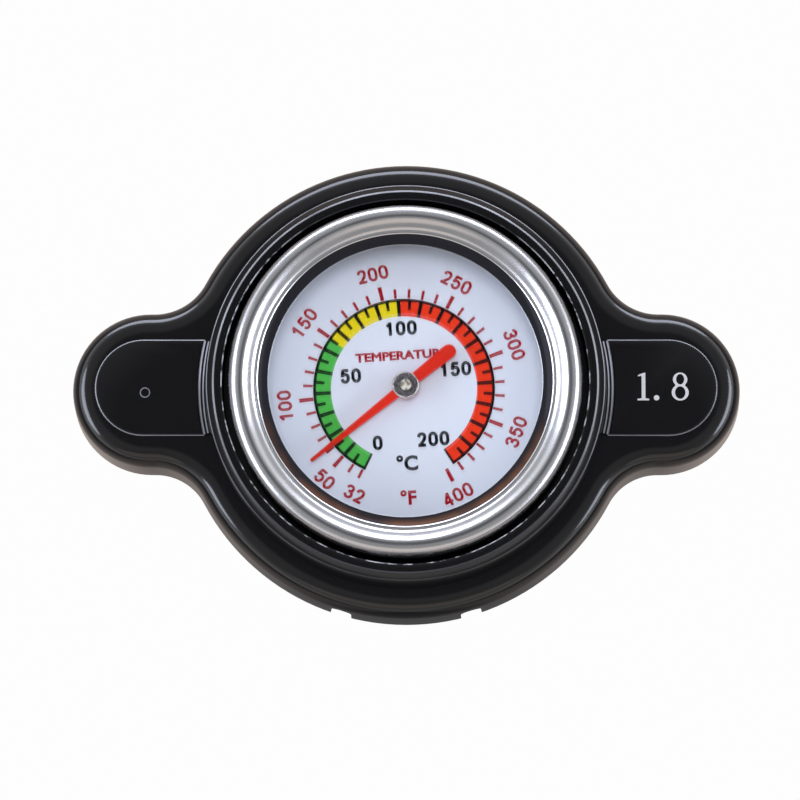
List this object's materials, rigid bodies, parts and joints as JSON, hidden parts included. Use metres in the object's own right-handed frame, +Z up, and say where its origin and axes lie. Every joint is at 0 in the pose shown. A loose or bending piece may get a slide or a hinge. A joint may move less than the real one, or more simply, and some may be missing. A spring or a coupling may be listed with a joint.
{
  "type": "radiator cap thermometer",
  "caption": "Winged radiator pressure cap with a dial thermometer in its top, a sensing stem, and sprung pressure and vacuum valves under it.",
  "frame": {"origin": "on the cap's axis, in the plane where the neck seal bears on the filler neck's rim", "axes": "+Z up through the dial, +X along the wings, -Y the near side of the picture"},
  "size_m": [0.075, 0.0516, 0.0384],
  "materials": {
    "gloss_black_plastic": "gloss",
    "polished_stainless": "polished",
    "stamped_stainless": "pressed sheet",
    "spring_steel": "drawn wire",
    "brass": "turned",
    "black_rubber": "moulded",
    "lens_glass": "clear",
    "dial_enamel": "satin print",
    "pointer_red": "satin",
    "hub_black": "satin",
    "bimetal_strip": "rolled strip"
  },
  "bodies": {
    "cap": {"cap_body": "gloss_black_plastic", "bayonet_shell": "stamped_stainless", "diaphragm_disc": "stamped_stainless", "neck_seal": "black_rubber", "clamp_nut": "brass", "case_gasket": "black_rubber", "thermometer_case": "stamped_stainless", "dial_plate": "dial_enamel", "lens_gasket": "black_rubber", "lens": "lens_glass", "bezel_ring": "polished_stainless", "stem_boss": "brass", "stem_tube": "stamped_stainless", "upper_bush": "brass", "lower_bush": "brass", "bimetal_coil": "bimetal_strip", "coil_anchor": "brass"},
    "pointer": {"pointer": "pointer_red", "pointer_hub": "hub_black", "spindle": "spring_steel"},
    "valve_guide": {"valve_guide": "stamped_stainless", "main_spring": "spring_steel"},
    "pressure_valve": {"valve_carrier": "stamped_stainless", "valve_plate": "stamped_stainless", "main_seal": "black_rubber", "vacuum_spring": "spring_steel"},
    "vacuum_valve": {"vacuum_disc": "brass", "vacuum_sleeve": "brass", "vacuum_collar": "stamped_stainless", "sleeve_o_ring": "black_rubber"}
  },
  "joints": [
    {"name": "pointer_turn", "type": "hinge", "parent": "cap", "child": "pointer", "pos_m": [0, 0, 0.0064], "axis": [0, 0, -1], "range_deg": [-24.5, 274.5], "stiffness_Nm_per_rad": 0.00002, "deforming": ["bimetal_coil"]},
    {"name": "valve_swivel", "type": "hinge", "parent": "cap", "child": "valve_guide", "pos_m": [0, 0, -0.001], "axis": [0, 0, 1], "continuous": true},
    {"name": "pressure_valve_lift", "type": "slide", "parent": "valve_guide", "child": "pressure_valve", "axis": [0, 0, 1], "range_m": [0, 0.0028], "stiffness_N_per_m": 6000, "springref_m": -0.001, "deforming": ["main_spring"]},
    {"name": "vacuum_valve_open", "type": "slide", "parent": "pressure_valve", "child": "vacuum_valve", "axis": [0, 0, -1], "range_m": [0, 0.0015], "stiffness_N_per_m": 60, "springref_m": -0.002, "deforming": ["vacuum_spring"]}
  ]
}
